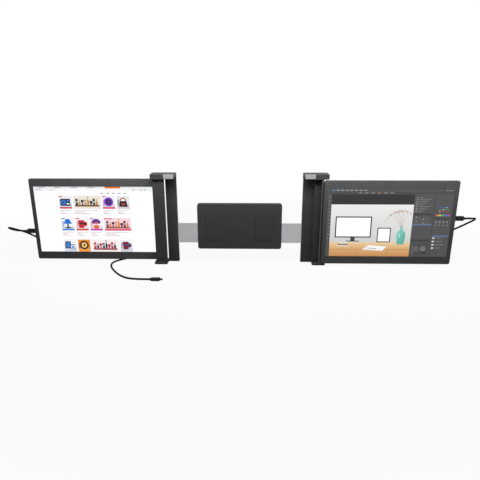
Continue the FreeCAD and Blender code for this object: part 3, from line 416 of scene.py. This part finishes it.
def shelf(thumb, back, front):
    """A wide thumbnail: books, bottles and balls of unlike height in a row on a board."""
    pale = hexed("f3f1ec")
    for k, tall in enumerate((.5, .36, .62, .44, .56, .34, .52, .4)):
        left = .07 + .108 * k
        mid = left + .04
        colour = (back, front, back, front, front, back)[k % 6]
        if k % 3 == 0:
            thumb.box(left, .28, left + .084, .28 + tall, colour)
            thumb.box(left + .015, .5, left + .069, .58, pale)
        elif k % 3 == 1:
            thumb.box(left, .28, left + .08, .28 + tall * .7, colour)
            thumb.box(mid - .014, .28, mid + .014, .28 + tall * 1.25, colour)
        else:
            thumb.box(mid - .03, .28, mid + .03, .44, back)
            thumb.dot(mid, .44 + tall * .25, .12, colour)
    thumb.box(.03, .21, .97, .28, back)
    thumb.box(.06, .16, .94, .21, front)


def gallery_picture():
    """Left display: a white page with small product cards, two of them twice as wide as the others."""
    pic = Picture("left_picture", "left_screen", screen_place(-SCREEN_MID_X, LEFT_FRONT))
    pic.rect(0, 0, 1, 1, hexed("fdfdfe"))
    pic.layer = 1
    pic.rect(0, .972, 1, 1, hexed("e4e6ea"))
    pic.rect(0, .936, 1, .971, hexed("eeeef1"))
    pic.layer = 2
    pic.rect(.6, .973, .73, 1, hexed("e8701c"))
    for k in range(4):
        pic.pill(.03 + .14 * k, .98, .095 + .14 * k, .992, hexed("a9adb4"))
    pic.pill(.2, .943, .8, .965, hexed("fbfbfc"))
    for u, code in ((.03, "8e939b"), (.055, "8e939b"), (.15, "6cbf4a"), (.84, "e0603a"),
                    (.9, "8e939b"), (.93, "6cbf4a")):
        pic.disc(u, .954, .0055, .01, hexed(code))
    for k in range(5):
        pic.pill(.56 + .048 * k, .897, .586 + .048 * k, .908, hexed("70757d"))
    for top, row in zip(CARD_TOPS, CARDS):
        for start, count, kind, ground, first, second, band in row:
            u0 = CARD_LEFT + CARD_CELL * start
            u1 = u0 + CARD_WIDE + CARD_CELL * (count - 1)
            colours = [hexed(code) for code in (ground, first, second)]
            card(pic, (u0, top - CARD_TALL, u1, top), kind, colours, band)
    pic.finish()


def card(pic, place, kind, colours, band):
    """One product card: a picture with a coloured foot band and the bars that stand for its caption."""
    u0, v0, u1, v1 = place
    ground, first, second = colours
    pic.layer = 1
    pic.rect(u0 - .0015, max(0.0, v0 - .0025), u1 + .0015, v1 + .0025, hexed("eedfe1"))
    pic.layer = 2
    pic.rect(u0, v0, u1, v1, ground)
    pic.layer = 3
    thumb = Thumb(pic, u0, v0, u1, v1)
    if kind == "shelf":
        shelf(thumb, first, second)
    else:
        thumb.backdrop(*colours)
        thumb.still_life(kind, first, second)
    pic.layer += 1
    if band:
        pic.rect(u0, v0, u1, v0 + .024, hexed(band))
        pic.rect(u0, v1 - .014, u0 + (u1 - u0) * .3, v1, hexed(band))
    if v0 > .08:
        pic.pill(u0, v0 - .032, u0 + (u1 - u0) * .9, v0 - .024, hexed("c3c7cc"))
        pic.pill(u0, v0 - .054, u0 + (u1 - u0) * .4, v0 - .046, hexed("f0948c"))
        pic.pill(u0, v0 - .078, u0 + (u1 - u0) * .55, v0 - .07, hexed("a4a8ae"))


def branch(pic, u, v, length, turn, thick, colour, depth):
    """A forked twig of thin quads with a pale bud at each tip."""
    tip_u = u + length * math.sin(turn) * VIEW_H / VIEW_W
    tip_v = v + length * math.cos(turn)
    side = thick * VIEW_H / VIEW_W
    pic.polygon([(u - side, v), (u + side, v), (tip_u + side * .6, tip_v), (tip_u - side * .6, tip_v)],
                colour)
    if depth:
        branch(pic, tip_u, tip_v, length * .72, turn - .38, thick * .7, colour, depth - 1)
        branch(pic, tip_u, tip_v, length * .66, turn + .33, thick * .7, colour, depth - 1)
    else:
        pic.disc(tip_u, tip_v, .0045, .008, hexed("b59a86"))


def framed_screen(pic, u0, v0, u1, v1, rim):
    """A black frame round a blank white display."""
    side = rim * VIEW_H / VIEW_W
    pic.rect(u0, v0, u1, v1, hexed("1d1e20"))
    pic.layer += 1
    pic.rect(u0 + side, v0 + rim, u1 - side, v1 - rim, hexed("ffffff"))
    pic.layer -= 1


def studio_picture():
    """Right display: a grey editor window round a pale picture of a desk."""
    pic = Picture("right_picture", "right_screen", screen_place(SCREEN_MID_X, RIGHT_FRONT))
    pic.rect(0, 0, 1, 1, hexed("4b4b4b"), hexed("515151"))
    pic.layer = 1
    pic.rect(0, .925, 1, .96, hexed("474747"))
    pic.rect(.03, .775, .69, .922, hexed("2c2c2c"))
    pic.rect(.03, 0, .69, .13, hexed("c48a50"), hexed("dcae78"))
    pic.rect(.03, .13, .69, .215, hexed("dcae78"), hexed("e9cda2"))
    pic.rect(.03, .215, .69, .775, hexed("cfcfcd"), hexed("ececea"))
    pic.rect(.852, .0, .856, .92, hexed("3b3b3b"))
    editor_marks(pic)
    desk_things(pic)
    editor_panels(pic)
    pic.finish()


def editor_marks(pic):
    """Small pale marks along the window's top and left edges."""
    pic.layer = 2
    for k in range(8):
        pic.pill(.03 + .036 * k, .975, .052 + .036 * k, .984, hexed("b9babc" if k else "5f9fe0"))
    for k in range(6):
        pic.pill(.24 + .05 * k, .938, .27 + .05 * k, .947, hexed("9b9c9e" if k % 3 else "c08a5a"))
    for k in range(3):
        pic.disc(.94 + .02 * k, .98, .003, .0055, hexed("c9cacc"))
    for k in range(12):
        pic.disc(.015, .88 - .055 * k, .0045, .008, hexed("8c8d8f"))


def desk_things(pic):
    """A blank monitor and tablet, books, paper and a teal vase with dry twigs on a wooden desk."""
    pic.layer = 2
    pic.rect(.2, .238, .235, .285, hexed("3a3b3d"))
    pic.rect(.165, .225, .27, .238, hexed("2c2d2f"))
    framed_screen(pic, .07, .285, .365, .6, .017)
    framed_screen(pic, .415, .215, .525, .435, .014)
    pic.polygon([(.3, .1), (.47, .085), (.5, .15), (.35, .17)], hexed("f6f6f5"))
    pic.layer = 3
    pic.polygon([(.33, .125), (.42, .115), (.423, .121), (.333, .131)], hexed("3d4a4a"))
    pic.layer = 2
    for k, code in enumerate(("d8d2c6", "8f6f52", "e8e4dc")):
        pic.rect(.09 + .008 * k, .15 + .022 * k, .19 - .006 * k, .17 + .022 * k, hexed(code))
    for u in (.25, .51):
        pic.rect(u, 0, u + .003, .1, hexed("a9743f"))
    pic.rect(.03, .1, .69, .106, hexed("b07a44"))
    for turn in (-.62, -.34, -.08, .22):
        branch(pic, .609, .43, .105, turn, .0028, hexed("a8846a"), 3)
    pic.layer = 3
    pic.polygon([(.582, .185), (.636, .185), (.645, .3), (.64, .365), (.62, .4), (.619, .45), (.599, .45),
                 (.598, .4), (.578, .365), (.573, .3)], [hexed("55a597")] * 4 + [hexed("7cc9ba")] * 6)
    pic.layer = 4
    pic.disc(.596, .32, .006, .03, hexed("b6e4da"))


def editor_panels(pic):
    """Tool panels of thin lines, with a small strip of hues, sliders and two picked rows."""
    pic.layer = 2
    pic.rect(.695, .47, .845, .495, hexed("5b7096"))
    pic.rect(.862, .3, .99, .322, hexed("5b7096"))
    pic.rect(.695, .23, .845, .262, hexed("3a3a3a"))
    pic.rect(.695, .62, .845, .645, hexed("3a3a3a"))
    pic.rect(.862, .56, .99, .585, hexed("3a3a3a"))
    hues = ("c84b4b", "d8873c", "d6c340", "68b04c", "3fa6a0", "3f78c8", "7a58bc", "c0508e")
    for k, hue in enumerate(hues):
        pic.rect(.868 + .0145 * k, .61, .868 + .0145 * (k + 1), .632, hexed(hue))
    for k, hue in enumerate(("b04646", "4f9a54", "4a66b4")):
        pic.rect(.89, .67 + .03 * k, .975, .678 + .03 * k, hexed(hue))
    pic.rect(.695, .02, .845, .21, hexed("454545"))
    for k in range(9):
        pic.pill(.705, .87 - .025 * k, .722, .877 - .025 * k, hexed("a2a3a5"))
        pic.pill(.73, .87 - .025 * k, .76 + .02 * ((k * 3) % 4), .877 - .025 * k, hexed("808183"))
    for k in range(4):
        pic.pill(.705, .59 - .028 * k, .83, .594 - .028 * k, hexed("737476"))
        pic.disc(.88 + .03 * k, .52, .006, .011, hexed("97989a"))
        pic.disc(.88 + .03 * k, .475, .006, .011, hexed("7d7e80"))
        pic.pill(.866, .27 - .05 * k, .884, .292 - .05 * k, hexed("d4d4d2"), .004)
        pic.pill(.892, .28 - .05 * k, .94 + .012 * (k % 3), .286 - .05 * k, hexed("8f9092"))
    pic.layer = 3
    for k in range(3):
        pic.disc(.9 + .025 * k, .674 + .03 * k, .004, .007, hexed("d0d1d3"))
    for k in range(4):
        pic.disc(.72 + .028 * ((k * 2) % 4), .592 - .028 * k, .0035, .0065, hexed("c3c4c6"))
    pic.disc(.745, .12, .022, .04, hexed("5d5e60"))
    pic.disc(.8, .12, .022, .04, hexed("6e6f71"))
    pic.rect(.79, .05, .825, .068, hexed("1f2021"))
    for k in range(5):
        pic.pill(.705, .04 + .03 * k, .722, .045 + .03 * k, hexed("96979a"))


def cable(name, body, route, replaced):
    """A free cable on a smooth spline through the CAD route's corners."""
    curve = bpy.data.curves.new(name, "CURVE")
    curve.dimensions = "3D"
    curve.bevel_depth = CORD_DIAMETER / 2 * MM
    curve.bevel_resolution = 5
    curve.resolution_u = 10
    curve.use_fill_caps = True
    line = curve.splines.new("NURBS")
    line.points.add(len(route) - 1)
    for point, place in zip(line.points, route):
        point.co = (place[0] * MM, place[1] * MM, place[2] * MM, 1.0)
    line.order_u = 3
    line.use_endpoint_u = True
    curve.materials.append(LOOKS["cord_black"])
    piece = add_object(name, curve)
    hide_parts(*replaced)
    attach(piece, body)


# Corners of their routes and the coil that ends the right one, as in the CAD, in millimetres
LEFT_ROUTE = [
    (-542.9, 6.8, 79.6), (-561, 6.8, 79.6), (-579.5, 6.9, 84.6), (-589.5, 17, 85.3), (-590, 30.5, 80.5),
    (-580.5, 39, 74), (-563, 40.8, 68.5), (-541, 39.3, 59.5), (-520, 39.3, 48), (-501, 38, 32),
    (-484, 38.8, 14), (-460, 39.3, 2.5), (-428, 42.8, 2.5), (-393, 43.3, 2.5), (-360, 49, 2.5),
    (-331, 55, 2.5), (-305, 55, 2.5), (-289, 42.5, 2.5), (-290.5, 25, 2.5), (-305, 12.5, 2.5),
    (-316.5, -1, 2.5), (-320, -18, 2.5), (-316, -37, 2.5), (-306, -57, 2.5), (-292, -79, 2.5),
    (-275, -101, 2.5), (-254.5, -117.5, 2.5), (-230, -125.2, 3.3), (-205.5, -125.2, 3.3)]
RIGHT_ROUTE = [
    (542.9, -16.7, 121.6), (556.5, -16.7, 121.6), (567.5, -9, 119.5), (570.3, 4, 112.5), (564, 15, 103.5),
    (549, 18, 94), (530, 17.6, 84.5), (510, 20, 76), (488, 23.5, 68), (464, 26.2, 62.5),
    (440, 26.2, 56.5), (440, 26.2, 32), (440, 26.2, 10.7), (431.8, 26.2, 2.5)]
COIL_START = (426.0, 26.2, 2.5)
COIL_RADIUS = 22.0
COIL_PITCH = 5.4
COIL_QUARTERS = 8
QUARTER_POINTS = 4
COIL_LEAD = 38.0
PLUG_LIFT = 0.8


def coil_points():
    """Points of the flat spiral after its start, and of the short lead to its plug."""
    x, y, z = COIL_START
    centre = Vector((x, y + COIL_RADIUS))
    radius = COIL_RADIUS
    out = Vector((0.0, -1.0))
    points = []
    for _ in range(COIL_QUARTERS):
        for k in range(QUARTER_POINTS):
            way = Matrix.Rotation(-math.radians(90.0 * k / QUARTER_POINTS), 2) @ out
            place = centre + way * radius
            points.append((place.x, place.y, z))
        out = Matrix.Rotation(-math.radians(90.0), 2) @ out
        end = centre + out * radius
        radius += COIL_PITCH / 4
        centre = end - out * radius
    points.append((end.x, end.y, z))
    for share, lift in ((1 / 3, 0.0), (2 / 3, PLUG_LIFT), (1.0, PLUG_LIFT)):
        points.append((end.x - COIL_LEAD * share, end.y, z + lift))
    return points[1:]


def add_light(name, place, target, size, power):
    """A soft lamp that looks at a point. It lights the object but is not mirrored in it."""
    data = bpy.data.lights.new(name, "AREA")
    data.shape = "RECTANGLE"
    data.size = size[0]
    data.size_y = size[1]
    data.energy = power
    lamp = add_object(name, data)
    lamp.location = place
    lamp.rotation_euler = (Vector(target) - Vector(place)).to_track_quat("-Z", "Y").to_euler()
    lamp.visible_glossy = False


def combine(tree, operation, first, second):
    """One value from two."""
    node = tree.nodes.new("ShaderNodeMath")
    node.operation = operation
    tree.links.new(first, node.inputs[0])
    tree.links.new(second, node.inputs[1])
    return node.outputs[0]


def mix_shaders(tree, share, first, second, out):
    """Two shaders mixed on the output."""
    mix = tree.nodes.new("ShaderNodeMixShader")
    tree.links.new(share, mix.inputs["Fac"])
    tree.links.new(first, mix.inputs[1])
    tree.links.new(second, mix.inputs[2])
    tree.links.new(mix.outputs[0], out.inputs["Surface"])


def background_rays(tree):
    """One for rays that show the background: from the camera, mirrored or passed through glass."""
    path = tree.nodes.new("ShaderNodeLightPath")
    seen = combine(tree, "MAXIMUM", path.outputs["Is Camera Ray"], path.outputs["Is Glossy Ray"])
    return combine(tree, "MAXIMUM", seen, path.outputs["Is Transmission Ray"])


def white_share(tree):
    """How much of the floor shows as plain white: most of it near the object, all of it further away."""
    where = tree.nodes.new("ShaderNodeTexCoord")
    away = tree.nodes.new("ShaderNodeVectorMath")
    away.operation = "LENGTH"
    tree.links.new(where.outputs["Object"], away.inputs[0])
    share = tree.nodes.new("ShaderNodeMapRange")
    share.interpolation_type = "SMOOTHSTEP"
    share.inputs["From Min"].default_value = NEAR_WHITE[0]
    share.inputs["From Max"].default_value = FAR_WHITE[0]
    share.inputs["To Min"].default_value = NEAR_WHITE[1]
    share.inputs["To Max"].default_value = FAR_WHITE[1]
    tree.links.new(away.outputs["Value"], share.inputs["Value"])
    return share.outputs["Result"]


def build_floor():
    """A plain pale floor that keeps the object's shadow and fades to the white background."""
    mesh = bpy.data.meshes.new("floor")
    corners = [(-1, -1), (1, -1), (1, 1), (-1, 1)]
    mesh.from_pydata([(x * FLOOR_HALF, y * FLOOR_HALF, 0) for x, y in corners], [], [(0, 1, 2, 3)])
    mat, tree, shader = new_material("floor_white")
    shader.inputs["Roughness"].default_value = 0.9
    shader.inputs["Specular IOR Level"].default_value = 0.0
    tone = noise(tree, FLOOR_GRAIN, 2.0)
    low, high = [(value, value, value) for value in FLOOR_TONES]
    tree.links.new(ramp(tree, tone, low, high), shader.inputs["Base Color"])
    white = tree.nodes.new("ShaderNodeEmission")
    white.inputs["Strength"].default_value = 1.0
    share = combine(tree, "MULTIPLY", background_rays(tree), white_share(tree))
    out = next(n for n in tree.nodes if n.type == "OUTPUT_MATERIAL")
    mix_shaders(tree, share, shader.outputs["BSDF"], white.outputs[0], out)
    mesh.materials.append(mat)
    floor = add_object("floor", mesh)


def build_world():
    """White to the camera and in reflections, soft and plain as light."""
    world = bpy.data.worlds.new("studio")
    bpy.context.scene.world = world
    world.use_nodes = True
    tree = world.node_tree
    tree.nodes.clear()
    out = tree.nodes.new("ShaderNodeOutputWorld")
    sides = []
    for strength in (WORLD_LIGHT, 1.0):
        node = tree.nodes.new("ShaderNodeBackground")
        node.inputs["Color"].default_value = (1, 1, 1, 1)
        node.inputs["Strength"].default_value = strength
        sides.append(node.outputs[0])
    mix_shaders(tree, background_rays(tree), sides[0], sides[1], out)


def build_camera():
    """The photograph's viewpoint."""
    data = bpy.data.cameras.new("camera")
    data.sensor_width = CAMERA_SENSOR
    data.lens = CAMERA_LENS
    forward = Vector(CAMERA_FORWARD).normalized()
    right = Vector(CAMERA_RIGHT).normalized()
    up = right.cross(forward).normalized()
    turn = Matrix((right, up, -forward)).transposed()
    camera = add_object("camera", data)
    camera.matrix_world = Matrix.Translation(Vector(CAMERA_PLACE)) @ turn.to_4x4()
    bpy.context.scene.camera = camera


build_camera()
cable("left_cable", "left_screen", LEFT_ROUTE, ["left_cord"])
cable("right_cable", "right_screen", RIGHT_ROUTE + coil_points(),
      ["right_cord", "right_cord_coil"])
paint_nodes()
gallery_picture()
studio_picture()
build_floor()
build_world()
for settings in LAMPS:
    add_light(*settings)
bpy.context.scene.view_settings.view_transform = "Standard"
